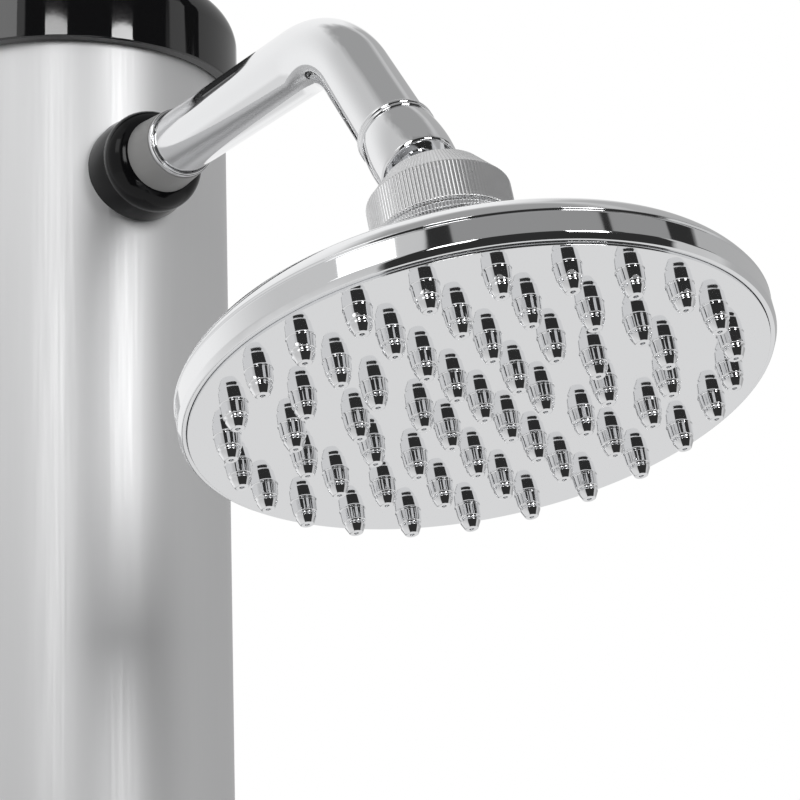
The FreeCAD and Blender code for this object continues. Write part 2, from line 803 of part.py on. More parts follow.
plate_radius = bore - S.plate_edge_gap
plate_back = S.plate_face - S.plate_thickness
plate = turned_body("face_plate", [
    (0, -S.plate_face), (0, -plate_back), (plate_radius, -plate_back),
    (plate_radius, -S.plate_face)])


def nozzle(body, away):
    """A spray nozzle at this distance from the head's axis; the tips lie on a dish."""
    tip = S.tip_centre + away * away / (S.tip_dish * 2)
    sketch = new_sketch(body, "YZ_Plane")
    outline(sketch, [
        (away, 0.5 - S.plate_face), (away + S.nozzle_base_radius, 0.5 - S.plate_face),
        (away + S.nozzle_base_radius, -S.plate_face),
        (away + S.nozzle_shoulder_radius, S.nozzle_tip - tip),
        (away + S.nozzle_tip_radius, -tip), (away, -tip)])
    centre = sketch.addGeometry(Part.LineSegment(
        FreeCAD.Vector(away.value, 0.5 - S.plate_face.value, 0),
        FreeCAD.Vector(away.value, -S.plate_face.value, 0)), True)
    pin_point(sketch, centre, 1, away, 0.5 - S.plate_face)
    pin_point(sketch, centre, 2, away, -S.plate_face)
    stem = body.newObject("PartDesign::Revolution", "Nozzle")
    stem.Profile = sketch
    stem.ReferenceAxis = (sketch, ["Axis0"])
    stem.Angle = 360.0
    body.Tip = stem
    jet = drill(body, "XY_Plane", -tip, 0, away, S.nozzle_hole_radius,
                tip - plate_back + 1, reverse=True)
    return [stem, jet]


nozzle(plate, as_size(0))
for step in range(int(S.ring_count.value)):
    away = S.ring_first_radius + S.ring_pitch * step
    around(plate, nozzle(plate, away), S.nozzles_per_ring_step * (step + 1))
face_seal = turned_body("face_seal", tube_steps(
    bore - S.plate_edge_gap, bore - 2.3, -plate_back, -ledge))

# ---------------------------------------------------------------- mixer

cartridge_bore = S.cartridge_radius + S.cartridge_clearance
retainer_bore = cartridge_bore + S.retainer_wall
retainer_seat = S.valve_front - S.retainer_depth
pipe_bore = S.pipe_radius + S.cartridge_clearance
valve = turned_body("valve_body", [
    (0, -S.valve_back), (S.valve_radius, -S.valve_back), (S.valve_radius, S.valve_shoulder),
    (S.valve_neck_radius, S.valve_shoulder), (S.valve_neck_radius, S.valve_front),
    (retainer_bore, S.valve_front), (retainer_bore, retainer_seat),
    (cartridge_bore, retainer_seat), (cartridge_bore, S.cartridge_seat),
    (0, S.cartridge_seat)])
port_plunge = S.port_height - S.port_depth
for along, side in ((-S.supply_offset, 1), (-S.supply_offset, -1), (S.riser_offset, 1)):
    boss(valve, "XZ_Plane", -S.port_height * side, 0, along, S.port_radius,
         S.port_height - S.cartridge_radius - 0.7, reverse=(side < 0))
for along, side, reach in ((-S.supply_offset, 1, S.cold_port_offset),
                           (-S.supply_offset, -1, S.hot_port_offset),
                           (S.riser_offset, 1, S.mixed_port_offset)):
    drill(valve, "XZ_Plane", -S.port_height * side, 0, along, pipe_bore,
          S.port_depth, reverse=(side > 0))
    drill(valve, "XZ_Plane", -port_plunge * side, 0, along, S.port_bore_radius,
          port_plunge - reach, reverse=(side > 0))
port_spots = (S.cold_port_offset, -S.hot_port_offset, S.mixed_port_offset)
supply_depth = S.cartridge_seat + S.supply_offset
mixed_depth = S.cartridge_seat - S.riser_offset + 2
for across, depth in zip(port_spots, (supply_depth, supply_depth, mixed_depth)):
    drill(valve, "XY_Plane", S.cartridge_seat, 0, across, S.body_port_radius, depth)

escutcheon = turned_body("mixer_rosette", [
    (S.valve_neck_radius + 0.1, S.tube_radius - 13),
    (S.mixer_plate_radius, S.tube_radius - 13),
    (S.mixer_plate_radius, S.mixer_plate_front - 3),
    (S.mixer_plate_radius - 3, S.mixer_plate_front),
    (S.valve_neck_radius + 0.1, S.mixer_plate_front)])
saddle(escutcheon, S.tube_radius)

rotor_radius = S.cartridge_radius - S.rotor_wall
rotor_bore = rotor_radius + S.cartridge_clearance
rotor_foot = S.valve_front - S.rotor_depth
cartridge = turned_body("cartridge", [
    (0, S.cartridge_seat), (S.cartridge_radius, S.cartridge_seat),
    (S.cartridge_radius, retainer_seat), (rotor_bore, retainer_seat),
    (rotor_bore, rotor_foot), (0, rotor_foot)])
for across in port_spots:
    drill(cartridge, "XY_Plane", rotor_foot, 0, across * 0.7, S.cartridge_port_radius,
          rotor_foot - S.cartridge_seat)
retainer = turned_body("cartridge_nut", tube_steps(
    retainer_bore - S.cartridge_clearance * 2, rotor_radius + 0.4, retainer_seat,
    retainer_seat + S.retainer_height))

rotor = turned_body("mixer_rotor", [
    (0, rotor_foot), (rotor_radius, rotor_foot), (rotor_radius, S.pivot_offset + 5),
    (rotor_radius - 2, S.pivot_offset + 7), (0, S.pivot_offset + 7)])
slot_half = S.stem_radius + 0.3
slot = new_sketch(rotor, "YZ_Plane")
rectangle(slot, -(rotor_radius + 1), S.pivot_offset - 6, rotor_radius + 1, S.pivot_offset + 8)
pocket(rotor, slot, slot_half * 2, both_ways=True)
pin_hole = new_sketch(rotor, "YZ_Plane")
circle(pin_hole, 0, S.pivot_offset, S.pin_radius + S.pin_clearance)
pocket(rotor, pin_hole, rotor_radius * 2 + 2, both_ways=True)
pivot_pin = new_body("pivot_pin")
pin_sketch = new_sketch(pivot_pin, "YZ_Plane")
circle(pin_sketch, 0, S.pivot_offset, S.pin_radius)
pad(pivot_pin, pin_sketch, rotor_radius * 1.8, both_ways=True)

bonnet_outer = S.bonnet_radius
bonnet_inner = bonnet_outer - 1.6
drop = S.pivot_offset - S.mixer_plate_front
bonnet = turned_body("mixer_bonnet", [
    (leg(bonnet_inner, drop), -drop), (leg(bonnet_outer, drop), -drop),
    (S.bonnet_mouth_radius, leg(bonnet_outer, S.bonnet_mouth_radius), bonnet_outer, -1),
    (S.bonnet_mouth_radius, leg(bonnet_inner, S.bonnet_mouth_radius)),
    (leg(bonnet_inner, drop), drop * 0.5)])

hub_inner = bonnet_outer + S.lever_gap
hub_low = S.hub_back - S.pivot_offset
hub_high = S.hub_front - S.pivot_offset
lever = turned_body("mixer_lever", [
    (hub_inner, hub_low), (S.hub_radius - 0.5, hub_low),
    (S.hub_radius, hub_low + 0.5), (S.hub_radius, hub_high - 4),
    (S.hub_radius - 4, hub_high, 4, -1), (0, hub_high), (0, hub_inner),
    (hub_inner, hub_inner)])
handle = new_sketch(lever, "YZ_Plane")
grip = S.lever_thickness
outline(handle, [
    (0, hub_high - 1), (0, hub_high + 1 - grip), (-S.hub_radius + 3, hub_high + 1 - grip),
    (-S.lever_length, hub_high + S.lever_rise - grip / 2),
    (-S.lever_length, hub_high + S.lever_rise),
    (-S.hub_radius, hub_high - 0.6)])
pad(lever, handle, S.lever_width, both_ways=True)
stem_hole = S.stem_radius + 0.03
drill(lever, "XY_Plane", hub_inner - 2, 0, 0, stem_hole, 5.5, reverse=True)
drill(lever, "XY_Plane", hub_inner - 2, 0, 0, S.lever_screw_radius, 20, reverse=True)
drill(lever, "XY_Plane", hub_high, 0, 0, S.index_radius, S.index_recess)

stem = turned_body("mixer_stem", [
    (0, -3.5), (S.stem_radius, -3.5), (S.stem_radius, hub_inner + 3.4),
    (S.stem_radius - 0.5, hub_inner + 3.5), (2, hub_inner + 3.5), (2, hub_inner - 6),
    (0, hub_inner - 6)])
eye = new_sketch(stem, "YZ_Plane")
circle(eye, 0, 0, S.pin_radius + S.eye_clearance)
pocket(stem, eye, S.stem_radius * 4, both_ways=True)
screw_seat = hub_high - S.index_recess
index_edge = S.index_radius - S.index_clearance
lever_screw = turned_body("lever_screw", [
    (0, hub_inner - 4), (1.95, hub_inner - 4), (1.95, screw_seat),
    (S.lever_screw_head, screw_seat), (S.lever_screw_head, screw_seat + 2.2),
    (1.4, screw_seat + 2.2), (1.4, screw_seat + 1), (0, screw_seat + 1)])
index_cap = turned_body("index_cap", [
    (0, screw_seat + 2.3), (index_edge, screw_seat + 2.3), (index_edge, hub_high + 0.3),
    (index_edge - 0.35, hub_high + 0.6), (0, hub_high + 0.6)])

# ---------------------------------------------------------------- pipes, inlet, drain

pipe_inner = S.pipe_radius - S.pipe_wall
tee_top = S.inlet_height + S.port_height
cold_low = tee_top - S.port_depth
cold = turned_body("cold_pipe", tube_steps(
    S.pipe_radius, pipe_inner, 0, mixer_height - port_plunge - cold_low))
place(cold, S.supply_offset, cold_low)
pipe_foot = mixer_height + port_plunge
hot = turned_body("hot_pipe", tube_steps(
    S.pipe_radius, pipe_inner, 0, S.cap_edge_height - S.hot_pipe_drop_from_cap - pipe_foot))
place(hot, S.supply_offset, pipe_foot)
riser_rise = arm_height - pipe_foot
riser = bent_pipe("riser_pipe", S.pipe_radius, pipe_inner, "XY_Plane",
                  riser_rise - S.riser_bend, S.riser_bend, as_size(90),
                  S.arm_tail + 14 - S.riser_offset - S.riser_bend)
place(riser, -S.riser_offset, pipe_foot)

nipple_seat = S.tube_radius + S.inlet_washer_thickness
nipple_low = S.tube_radius - S.nipple_tail
nipple_high = nipple_seat + S.nipple_length
hex_top = nipple_seat + S.hex_height
tail_bore = S.nipple_tail_radius + S.cartridge_clearance
nipple = turned_body("inlet_nipple", [
    (S.nipple_bore, nipple_low), (S.nipple_tail_radius, nipple_low),
    (S.nipple_tail_radius, nipple_seat), (S.hex_radius, nipple_seat),
    (S.hex_radius, hex_top), (S.nipple_radius - 0.8, hex_top),
    (S.nipple_radius, hex_top + 0.8), (S.nipple_radius, nipple_high - 1),
    (S.nipple_radius - 1, nipple_high), (S.nipple_bore, nipple_high)])
inlet_washer = turned_body("inlet_washer", tube_steps(
    S.hex_radius, tail_bore, S.tube_radius - 3, nipple_seat))
saddle(inlet_washer, S.tube_radius)
inlet_nut = hex_nut("inlet_locknut", S.locknut_radius, tail_bore,
                    tube_bore - S.inlet_nut_gap - S.locknut_height, S.locknut_height)
tee = turned_body("inlet_tee", [
    (0, -8), (S.nipple_tail_radius + 3, -8), (S.nipple_tail_radius + 3, nipple_low + 6),
    (tail_bore, nipple_low + 6), (tail_bore, nipple_low), (0, nipple_low)])
boss(tee, "XZ_Plane", S.port_height, 0, S.supply_offset, S.port_radius, S.port_height - 5,
     reverse=True)
drill(tee, "XZ_Plane", S.port_height, 0, S.supply_offset, pipe_bore, S.port_depth)
drill(tee, "XZ_Plane", port_plunge, 0, S.supply_offset, 4, port_plunge)
drill(tee, "XY_Plane", nipple_low, 0, 0, 4, nipple_low + 9)

drain_seat = S.tube_radius + S.drain_boss_height
drain_head_low = drain_seat + S.drain_seal_thickness
drain_head_high = drain_head_low + S.drain_head_height
drain_low = S.tube_radius - S.drain_tail
drain_boss = turned_body("drain_boss", tube_steps(
    S.drain_flange_radius, S.drain_radius + S.drain_fit, drain_low, drain_seat))
saddle(drain_boss, S.tube_radius)
drain_seal = turned_body("drain_seal", tube_steps(
    S.drain_head_radius - 0.5, S.drain_radius + 0.3, drain_seat, drain_head_low))
drain_plug = turned_body("drain_plug", [
    (0, drain_low), (S.drain_radius, drain_low), (S.drain_radius, drain_head_low),
    (S.drain_head_radius, drain_head_low), (S.drain_head_radius, drain_head_high - 1),
    (S.drain_head_radius - 1, drain_head_high), (0, drain_head_high)])
coin_slot = new_sketch(drain_plug, "XY_Plane", drain_head_high)
slot_edge = S.coin_slot_width / 2
rectangle(coin_slot, -S.drain_head_radius, -slot_edge, S.drain_head_radius, slot_edge)
pocket(drain_plug, coin_slot, S.coin_slot_depth)

# ---------------------------------------------------------------- places

for body in (rosette, sleeve, thin_ring, locknut, arm_washer, ferrule):
    place(body, 0, arm_height, FORWARD)
for body in (collar, collar_seal):
    place(body, ball_y, ball_z, arm_tip)
for body in (seat, ball_seal, nut, socket_neck, neck_nut, shell, plate, face_seal):
    place(body, ball_y, ball_z, head_tip)
for body in (valve, escutcheon, cartridge, retainer, rotor, pivot_pin):
    place(body, 0, mixer_height, FORWARD)
for body in (bonnet, lever, stem, lever_screw, index_cap):
    place(body, -S.pivot_offset, mixer_height, FORWARD)
for body in (nipple, inlet_washer, inlet_nut, tee):
    place(body, 0, S.inlet_height, BACKWARD)
for body in (drain_boss, drain_seal, drain_plug):
    place(body, 0, S.drain_height, BACKWARD)

# ---------------------------------------------------------------- files

doc.recompute()
os.makedirs("parts", exist_ok=True)
for item in doc.Objects:
    if "Invalid" in item.State or "Error" in item.State:
        raise ValueError("%s is not built" % item.Label)
for body in doc.findObjects("PartDesign::Body"):
    if body.Shape.isNull() or not body.Shape.isValid():
        raise ValueError("%s has no sound shape" % body.Label)
    body.Shape.exportStep("parts/%s.step" % body.Label)
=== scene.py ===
import json
import math
import bpy
from mathutils import Matrix, Vector


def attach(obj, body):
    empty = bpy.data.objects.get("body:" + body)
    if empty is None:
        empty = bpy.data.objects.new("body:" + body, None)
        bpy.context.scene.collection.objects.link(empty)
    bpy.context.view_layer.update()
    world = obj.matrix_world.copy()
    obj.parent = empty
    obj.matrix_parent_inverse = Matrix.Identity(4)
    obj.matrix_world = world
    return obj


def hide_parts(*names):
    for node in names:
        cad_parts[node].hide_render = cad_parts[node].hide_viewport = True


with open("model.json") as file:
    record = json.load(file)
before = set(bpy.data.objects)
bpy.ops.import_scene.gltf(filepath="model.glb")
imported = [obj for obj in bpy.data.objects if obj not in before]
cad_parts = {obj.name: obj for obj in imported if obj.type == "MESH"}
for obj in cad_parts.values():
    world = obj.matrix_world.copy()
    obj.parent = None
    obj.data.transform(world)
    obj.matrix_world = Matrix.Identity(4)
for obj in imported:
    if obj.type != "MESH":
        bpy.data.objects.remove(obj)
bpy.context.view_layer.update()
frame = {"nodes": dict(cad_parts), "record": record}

# Lengths are written in millimetres and turned into Blender's metres by MM.
MM = 0.001

# ------------------------------------------------------------ sizes of the part
CAP_EDGE = 2110.0
ARM_HEIGHT = 2067.5
ARM_RADIUS = 10.0
ARM_WALL = 1.6
ARM_TAIL = 30.0
ARM_REACH = 179.0
ARM_ANGLE = 51.0
ARM_BEND = 38.0
ARM_LEG = 48.0
BALL_OFFSET = 79.5
BALL_RADIUS = 11.5
HEAD_TILT = 15.6
HEAD_RADIUS = 75.0
NUT_RADIUS = 19.0
KNURLS = 120
KNURL_DEPTH = 0.22
PLATE_RADIUS = 72.7
PLATE_FACE = 57.8
DISH = 2090.0
# Radius of each nozzle ring and its count.
NOZZLE_RINGS = ((0.0, 1), (15.2, 6), (31.1, 12), (47.0, 18), (62.9, 24))
NOZZLE_TWIST = 1.3
# Distances from the post's axis along the arm, and the fitting's bore.
ROSETTE_BACK = 47.0
ROSETTE_NOSE = 70.0
SLEEVE_END = 82.2
FITTING_BORE = ARM_RADIUS + 0.15
# Mouth of the nut around the ball, and the neck between ball and collar.
NUT_MOUTH = 11.85
COLLAR_NECK = 6.1

arm_slope = math.radians(ARM_ANGLE)
BALL = Vector((0.0, -(ARM_REACH + BALL_OFFSET * math.cos(arm_slope)),
               ARM_HEIGHT - BALL_OFFSET * math.sin(arm_slope)))


# ------------------------------------------------------------ frames of the pieces
def tipped(y, z, degrees):
    """The frame of a turned piece: its own Z axis tipped about X, at (0, y, z)."""
    return (Matrix.Translation(Vector((0, y, z)) * MM)
            @ Matrix.Rotation(math.radians(degrees), 4, "X") @ Matrix.Scale(MM, 4))


CAP = tipped(0, CAP_EDGE, 0)
FORWARD = tipped(0, ARM_HEIGHT, 90)
HEAD = tipped(BALL.y, BALL.z, -HEAD_TILT)
COLLAR = tipped(BALL.y, BALL.z, ARM_ANGLE - 90)


# ------------------------------------------------------------ materials
def material(name, color, metallic=0.0, roughness=0.5, specular=0.5):
    """A principled material; its uniform numbers sit on the shader's own sockets."""
    mat = bpy.data.materials.new(name)
    mat.use_nodes = True
    shader = mat.node_tree.nodes["Principled BSDF"]
    shader.inputs["Base Color"].default_value = (*color, 1)
    shader.inputs["Metallic"].default_value = metallic
    shader.inputs["Roughness"].default_value = roughness
    shader.inputs["Specular IOR Level"].default_value = specular
    return mat


def add(mat, kind, **values):
    node = mat.node_tree.nodes.new(kind)
    for key, value in values.items():
        if key in node.inputs:
            node.inputs[key].default_value = value
        else:
            setattr(node, key, value)
    return node


def join(mat, start, end):
    mat.node_tree.links.new(start, end)


def noise(mat, scale, stretch=(1, 1, 1), detail=3.0):
    """Noise in the object's own coordinates, stretched along its axes."""
    where = add(mat, "ShaderNodeTexCoord")
    size = add(mat, "ShaderNodeMapping")
    size.inputs["Scale"].default_value = stretch
    grain = add(mat, "ShaderNodeTexNoise", Scale=scale, Detail=detail)
    join(mat, where.outputs["Object"], size.inputs["Vector"])
    join(mat, size.outputs["Vector"], grain.inputs["Vector"])
    return grain.outputs["Fac"]


def spread(mat, source, low, high):
    """Maps a noise's middle range onto low to high."""
    ramp = add(mat, "ShaderNodeMapRange")
    ramp.inputs["From Min"].default_value = 0.3
    ramp.inputs["From Max"].default_value = 0.7
    ramp.inputs["To Min"].default_value = low
    ramp.inputs["To Max"].default_value = high
    join(mat, source, ramp.inputs["Value"])
    return ramp.outputs["Result"]


def rough(mat, source, low, high):
    shader = mat.node_tree.nodes["Principled BSDF"]
    join(mat, spread(mat, source, low, high), shader.inputs["Roughness"])


def tint(mat, source, dark, light):
    """Mixes two colours by a noise."""
    mix = add(mat, "ShaderNodeMix", data_type="RGBA")
    mix.inputs["A"].default_value = (*dark, 1)
    mix.inputs["B"].default_value = (*light, 1)
    join(mat, spread(mat, source, 0.0, 1.0), mix.inputs["Factor"])
    join(mat, mix.outputs["Result"], mat.node_tree.nodes["Principled BSDF"].inputs["Base Color"])


def bump(mat, source, height, strength=1.0):
    """Surface relief of this height in millimetres."""
    relief = add(mat, "ShaderNodeBump", Strength=strength, Distance=height * MM)
    join(mat, source, relief.inputs["Height"])
    join(mat, relief.outputs["Normal"], mat.node_tree.nodes["Principled BSDF"].inputs["Normal"])


def chrome(name, color=(0.86, 0.865, 0.875), low=0.03, high=0.06):
    mat = material(name, color, metallic=1.0, roughness=low)
    rough(mat, noise(mat, 60), low, high)
    bump(mat, noise(mat, 900, detail=2.0), 0.002, 0.25)
    return mat


def brushed(name, color, stretch, low=0.24, high=0.34, relief=0.006):
    mat = material(name, color, metallic=1.0, roughness=low)
    grain = noise(mat, 900, stretch, 4.0)
    rough(mat, grain, low, high)
    tint(mat, noise(mat, 14, stretch), [c * 0.96 for c in color], color)
    bump(mat, grain, relief, 0.35)
    return mat


def plastic(name, color, low, high, relief=0.004, scale=700, specular=0.5):
    mat = material(name, color, roughness=low, specular=specular)
    rough(mat, noise(mat, 90), low, high)
    tint(mat, noise(mat, 25), [c * 0.85 for c in color], color)
    bump(mat, noise(mat, scale, detail=2.0), relief, 0.3)
    return mat


FINISH = {
    "tube_aluminium": brushed("satin_aluminium", (0.80, 0.802, 0.808), (1, 1, 0.02),
                              0.46, 0.52, 0.0012),
    "black_gloss": plastic("black_gloss", (0.004, 0.004, 0.0045), 0.03, 0.045, specular=0.85),
    "black_paint": plastic("black_paint", (0.008, 0.008, 0.009), 0.13, 0.2, relief=0.008,
                           scale=400),
    "black_plastic": plastic("black_plastic", (0.022, 0.022, 0.023), 0.32, 0.42, relief=0.01),
    "grey_plastic": plastic("grey_plastic", (0.27, 0.268, 0.265), 0.35, 0.45),
    "chrome": chrome("chrome"),
    "chrome_plastic": chrome("plated_chrome"),
    "white_plastic": plastic("white_plastic", (0.75, 0.75, 0.73), 0.35, 0.45),
    "rubber": plastic("rubber", (0.025, 0.025, 0.026), 0.6, 0.75, relief=0.02),
    "brass": brushed("brass", (0.70, 0.53, 0.25), (1, 1, 1), 0.22, 0.32),
    "steel": brushed("brushed_steel", (0.60, 0.60, 0.61), (1, 1, 0.05), 0.2, 0.3),
}
SLOT_OF = {part["node"]: part["material_slot"] for part in frame["record"]["subparts"]}

for node, cad_object in frame["nodes"].items():
    cad_object.data.materials.clear()
    cad_object.data.materials.append(FINISH[SLOT_OF[node]])


# ------------------------------------------------------------ shapes
CORNER_STEPS = 3


def arc(start, end, radius, side, steps=14):
    """Points of a minor arc after start up to end; it bulges left (+1) or right (-1)."""
    start, end = Vector(start), Vector(end)
    chord = end - start
    left = Vector((-chord.y, chord.x)).normalized()
    rise = math.sqrt(max(radius * radius - chord.length_squared / 4, 0.0))
    centre = (start + end) / 2 - left * rise * side
    first = math.atan2(start.y - centre.y, start.x - centre.x)
    last = math.atan2(end.y - centre.y, end.x - centre.x)
    turn = (last - first + math.pi) % (2 * math.pi) - math.pi
    return [(centre.x + radius * math.cos(first + turn * i / steps),
             centre.y + radius * math.sin(first + turn * i / steps))
            for i in range(1, steps + 1)]


def softened(points, radius):
    """Rounds the corners of a closed outline by this radius, with CORNER_STEPS + 1 points."""
    rounded = []
    for i, point in enumerate(points):
        here = Vector(point)
        before = Vector(points[i - 1]) - here
        after = Vector(points[(i + 1) % len(points)]) - here
        reach = min(radius, before.length * 0.4, after.length * 0.4)
        if here.x < 1e-6 or before.angle(after, math.pi) > math.radians(164):
            rounded.append(point)
            continue
        start = here + before.normalized() * reach
        end = here + after.normalized() * reach
        for k in range(CORNER_STEPS + 1):
            t = k / CORNER_STEPS
            rounded.append(tuple(start * (1 - t) ** 2 + here * 2 * t * (1 - t) + end * t ** 2))
    return rounded


def mesh_object(name, verts, faces):
    mesh = bpy.data.meshes.new(name)
    mesh.from_pydata(verts, [], faces)
    mesh.validate()
    mesh.update()
    for face in mesh.polygons:
        face.use_smooth = True
    piece = bpy.data.objects.new(name, mesh)
    bpy.context.scene.collection.objects.link(piece)
    return piece


def lathe_mesh(points, place, segments, shape=None, verts=None, faces=None):
    """Adds a closed (radius, height) outline turned about its own Z axis to a mesh."""
    verts = [] if verts is None else verts
    faces = [] if faces is None else faces
    rings = []
    for radius, height in points:
        start = len(verts)
        if radius < 1e-6:
            verts.append(place @ Vector((0, 0, height)))
            rings.append([start] * segments)
            continue
        for k in range(segments):
            angle = 2 * math.pi * k / segments
            reach = radius if shape is None else shape(radius, height, angle)
            verts.append(place @ Vector((reach * math.cos(angle), reach * math.sin(angle), height)))
        rings.append([start + k for k in range(segments)])
    for lower, upper in zip(rings, rings[1:] + rings[:1]):
        for k in range(segments):
            after = (k + 1) % segments
            corners = []
            for corner in (lower[k], lower[after], upper[after], upper[k]):
                if corner not in corners:
                    corners.append(corner)
            if len(corners) > 2:
                faces.append(corners)
    return verts, faces


def finish_piece(piece, body, slot, nodes=()):
    """Gives a piece its finish, its slot and the body that it rides on."""
    piece.data.materials.append(FINISH[slot])
    level = piece.modifiers.new("even", "WEIGHTED_NORMAL")
    level.weight = 100
    if nodes:
        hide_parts(*nodes)
    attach(piece, body)
    return piece


def turned(node, body, points, place, soft=0.2, segments=192, shape=None):
    """A turned piece that stands for the CAD node of the same name."""
    verts, faces = lathe_mesh(softened(points, soft), place, segments, shape)
    return finish_piece(mesh_object("look_" + node, verts, faces), body, SLOT_OF[node], [node])


def half_chord(radius, height):
    return math.sqrt(radius * radius - height * height)


# ------------------------------------------------------------ face plate and nozzles
def face_height(radius):
    return -(PLATE_FACE + radius * radius / (2 * DISH))


def face_plate():
    edge = [(PLATE_RADIUS * i / 40, face_height(PLATE_RADIUS * i / 40)) for i in range(41)]
    turned("face_plate", "head", edge + [(PLATE_RADIUS, -56.4), (0, -56.0)], HEAD, 0.1)


def nozzles():
    """Spray nozzles: a flared foot, a slim barrel, a rounded shoulder and a blunt tip.

    The tip's outline starts where the shoulder's arc ends, so its first corner is left out.
    """
    barrel_end, tip_start = (3.1, -3.55), (2.72, -4.75)
    outline = softened([(0, 0.4), (3.55, 0.4), (3.55, -0.12), (3.36, -0.38), barrel_end], 0.2)
    outline += arc(outline[-1], tip_start, 1.9, -1, 6)
    tip = softened([tip_start, (1.8, -6.6), (1.5, -6.75), (0.6, -6.75), (0.6, -5.2), (0, -5.2)],
                   0.2)
    outline += tip[CORNER_STEPS + 1:]
    verts, faces = [], []
    for ring, count in NOZZLE_RINGS:
        for k in range(count):
            angle = 2 * math.pi * k / count - math.pi / 2 + math.radians(NOZZLE_TWIST)
            foot = face_height(ring)
            spot = Matrix.Translation((ring * math.cos(angle), ring * math.sin(angle), foot))
            lathe_mesh(outline, HEAD @ spot, 40, None, verts, faces)
    finish_piece(mesh_object("spray_nozzles", verts, faces), "head", SLOT_OF["face_plate"])


# ------------------------------------------------------------ head, nut and collar
def head_shell():
    start = (14.1, -12.2)
    outline = [start, (19.4, -12.2)]
    outline += arc(outline[-1], (29.4, -20.5), 45, -1)
    outline += [(70.0, -45.0)]
    outline += arc(outline[-1], (HEAD_RADIUS, -50.8), 13, 1)
    outline += [(74.6, -51.2), (74.8, -51.6), (74.8, -56.8), (74.0, -58.4), (72.8, -58.4),
                (72.8, -54.1), (70.5, -54.1), (70.5, -48.4), (29.4, -23.1), (14.1, -18.0)]
    turned("head_shell", "head", outline, HEAD, 0.25, 256)


def knurled(radius, height, angle):
    """Cuts the barrel of the nut into straight ridges."""
    if radius < NUT_RADIUS - 0.7 or height > 0.4:
        return radius
    wave = abs((angle * KNURLS / (2 * math.pi)) % 1.0 - 0.5) * 2
    depth = KNURL_DEPTH * max(0.0, (wave - 0.3) / 0.7)
    return radius - depth


def swivel_nut():
    outline = [(half_chord(NUT_MOUTH, 5.2), 5.2), (13.1, 6.9), (NUT_RADIUS - 0.6, 0.4),
               (NUT_RADIUS, -0.2), (NUT_RADIUS, -10.8), (NUT_RADIUS - 0.6, -11.4),
               (16.1, -11.4), (16.1, -0.4), (15.05, -0.4), (15.05, 2.15),
               (half_chord(NUT_MOUTH, 2.15), 2.15)]
    nut = turned("swivel_nut", "nut", outline, HEAD, 0.25, KNURLS * 8, knurled)
    nut.data.materials[0] = chrome("knurled_chrome", (0.74, 0.742, 0.748), 0.24, 0.30)


def swivel_collar():
    leg_end = BALL_OFFSET - ARM_LEG
    bead = leg_end - 2.8
    ball_foot = (half_chord(BALL_RADIUS, 8), -8)
    outline = [(4.5, -8), ball_foot]
    outline += arc(ball_foot, (COLLAR_NECK, half_chord(BALL_RADIUS, COLLAR_NECK)), BALL_RADIUS,
                   -1, 24)
    outline += [(COLLAR_NECK, 14.5), (10.0, 12.4), (10.5, 12.4), (10.9, 13.0)]
    outline += arc(outline[-1], (10.6, bead - 0.4), 55, -1)
    outline += [(10.5, bead)]
    outline += arc(outline[-1], (10.5, bead + 1.4), 0.75, -1, 8)
    outline += arc(outline[-1], (10.5, leg_end), 0.75, -1, 8)
    outline += [(8.35, leg_end), (8.35, leg_end + 10), (4.5, leg_end + 10)]
    turned("swivel_collar", "post", outline, COLLAR, 0.12)


# ------------------------------------------------------------ arm and its fitting
def shower_arm():
    """The bent chrome pipe, swept in the plane x = 0."""
    setback = ARM_BEND * math.tan(arm_slope / 2)
    path = [((ARM_TAIL, 0.0), 0.0)]
    steps = 28
    centre_y = ARM_REACH - setback
    for i in range(steps + 1):
        angle = arm_slope * i / steps
        path.append(((centre_y + ARM_BEND * math.sin(angle),
                      -ARM_BEND * (1 - math.cos(angle))), angle))
    path.append(((ARM_REACH + ARM_LEG * math.cos(arm_slope), -ARM_LEG * math.sin(arm_slope)),
                 arm_slope))
    verts, faces = [], []
    segments = 96
    inner = ARM_RADIUS - ARM_WALL
    loops = [(inner, path[0]), (ARM_RADIUS, path[0])]
    loops += [(ARM_RADIUS, stop) for stop in path[1:]] + [(inner, stop) for stop in path[::-1]]
    for radius, ((forward, up), angle) in loops:
        for k in range(segments):
            turn = 2 * math.pi * k / segments
            lift = radius * math.sin(turn)
            verts.append(Vector((radius * math.cos(turn), -(forward + lift * math.sin(angle)),
                                 ARM_HEIGHT + up + lift * math.cos(angle))) * MM)
    for ring in range(len(loops)):
        for k in range(segments):
            after = (k + 1) % segments
            low, high = ring * segments, (ring + 1) % len(loops) * segments
            faces.append((low + k, low + after, high + after, high + k))
    finish_piece(mesh_object("look_shower_arm", verts, faces), "post", "chrome", ["shower_arm"])


def arm_rosette():
    outline = [(FITTING_BORE, ROSETTE_BACK), (16.3, ROSETTE_BACK), (16.9, 55.6), (16.2, 61.4)]
    outline += arc(outline[-1], (12.1, ROSETTE_NOSE), 7, -1)
    outline += [(FITTING_BORE, ROSETTE_NOSE)]
    rosette = turned("arm_rosette", "post", outline, FORWARD, 0.4)
    rosette.data.materials[0] = plastic("rosette_plastic", (0.004, 0.004, 0.0045), 0.08, 0.14,
                                        specular=0.2)


